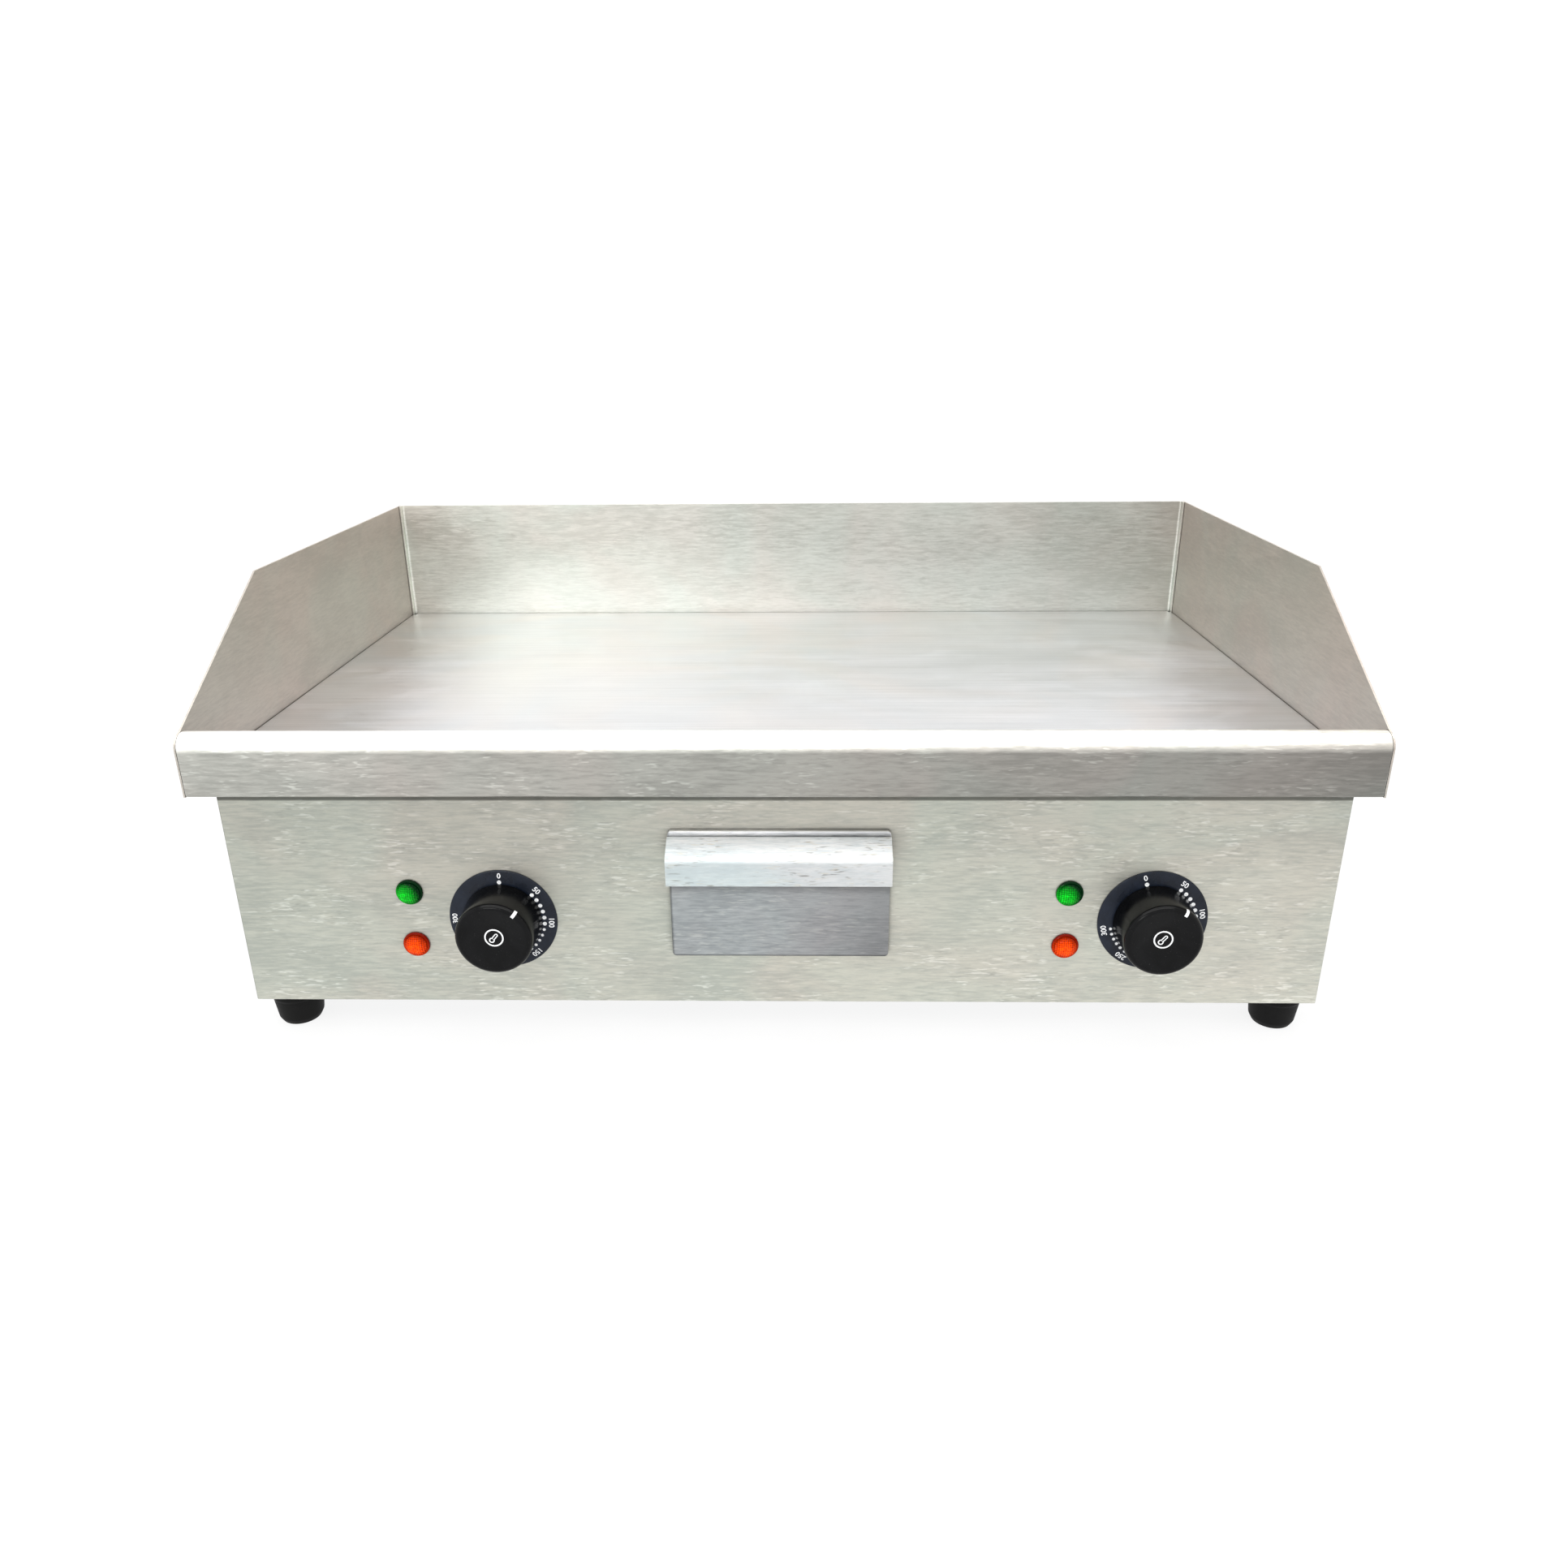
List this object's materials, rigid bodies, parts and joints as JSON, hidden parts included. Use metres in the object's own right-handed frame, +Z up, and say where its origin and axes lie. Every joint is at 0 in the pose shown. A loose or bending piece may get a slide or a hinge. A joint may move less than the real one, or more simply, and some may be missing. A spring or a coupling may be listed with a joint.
{
  "type": "flat top griddle",
  "caption": "Counter-top electric griddle: a wide steel plate with splash guards over a cabinet with thermostat knobs, pilot lamps and a pull-out grease drawer.",
  "frame": {"origin": "centre of the whole object's footprint, at the undersides of the feet", "axes": "+Z up, -Y towards the cook, +X to the cook's right"},
  "size_m": [0.73, 0.47, 0.2945],
  "materials": {
    "stainless": "brushed, with a fine horizontal grain",
    "ground_plate": "ground and polished to a satin",
    "zinc_steel": "bright zinc plate",
    "element_sheath": "oxidised heater sheath",
    "copper": "drawn copper",
    "brass": "turned brass",
    "knob_plastic": "moulded gloss black",
    "dial_plastic": "satin black with white print",
    "black_plastic": "moulded matt black",
    "foot_rubber": "moulded black rubber",
    "block_ceramic": "unglazed steatite",
    "green_lens": "translucent faceted green",
    "amber_lens": "translucent faceted orange-red",
    "lead_silicone": "glass-braided silicone sleeve"
  },
  "bodies": {
    "griddle": {"griddle_plate": "ground_plate", "left_splash_guard": "stainless", "right_splash_guard": "stainless", "rear_splash_guard": "stainless", "front_bullnose": "stainless", "grease_trough": "stainless", "drain_spout": "stainless", "left_heating_element": "element_sheath", "left_element_clamp": "zinc_steel", "left_clamp_bolt": "zinc_steel", "right_heating_element": "element_sheath", "right_element_clamp": "zinc_steel", "right_clamp_bolt": "zinc_steel", "heat_shield": "zinc_steel", "front_panel": "stainless", "left_side_panel": "stainless", "right_side_panel": "stainless", "rear_panel": "stainless", "base_pan": "zinc_steel", "foot_front_left": "foot_rubber", "foot_bolt_front_left": "zinc_steel", "foot_front_right": "foot_rubber", "foot_bolt_front_right": "zinc_steel", "foot_rear_left": "foot_rubber", "foot_bolt_rear_left": "zinc_steel", "foot_rear_right": "foot_rubber", "foot_bolt_rear_right": "zinc_steel", "left_dial": "dial_plastic", "left_thermostat": "black_plastic", "left_power_lamp": "green_lens", "left_heating_lamp": "amber_lens", "left_sensing_bulb": "copper", "left_capillary": "copper", "left_element_lead": "lead_silicone", "right_dial": "dial_plastic", "right_thermostat": "black_plastic", "right_power_lamp": "green_lens", "right_heating_lamp": "amber_lens", "right_sensing_bulb": "copper", "right_capillary": "copper", "right_element_lead": "lead_silicone", "terminal_block": "block_ceramic", "left_cable_gland": "black_plastic", "left_supply_lead": "lead_silicone", "right_cable_gland": "black_plastic", "right_supply_lead": "lead_silicone", "earth_stud": "brass", "rear_screw_lower_left": "zinc_steel", "rear_screw_upper_left": "zinc_steel", "rear_screw_lower_right": "zinc_steel", "rear_screw_upper_right": "zinc_steel", "drawer_runner_left": "zinc_steel", "drawer_runner_right": "zinc_steel"},
    "left_control": {"left_knob": "knob_plastic", "left_thermostat_shaft": "zinc_steel"},
    "right_control": {"right_knob": "knob_plastic", "right_thermostat_shaft": "zinc_steel"},
    "grease_drawer": {"drawer_tray": "stainless", "drawer_front": "stainless", "drawer_handle": "stainless"}
  },
  "joints": [
    {"name": "left_knob_turn", "type": "hinge", "parent": "griddle", "child": "left_control", "pos_m": [-0.182, -0.206, 0.0875], "axis": [0, 1, 0], "range_deg": [-38, 234]},
    {"name": "right_knob_turn", "type": "hinge", "parent": "griddle", "child": "right_control", "pos_m": [0.242, -0.206, 0.0875], "axis": [0, 1, 0], "range_deg": [-43, 229]},
    {"name": "drawer_slide", "type": "slide", "parent": "griddle", "child": "grease_drawer", "axis": [0, -1, 0], "range_m": [0, 0.165]}
  ]
}
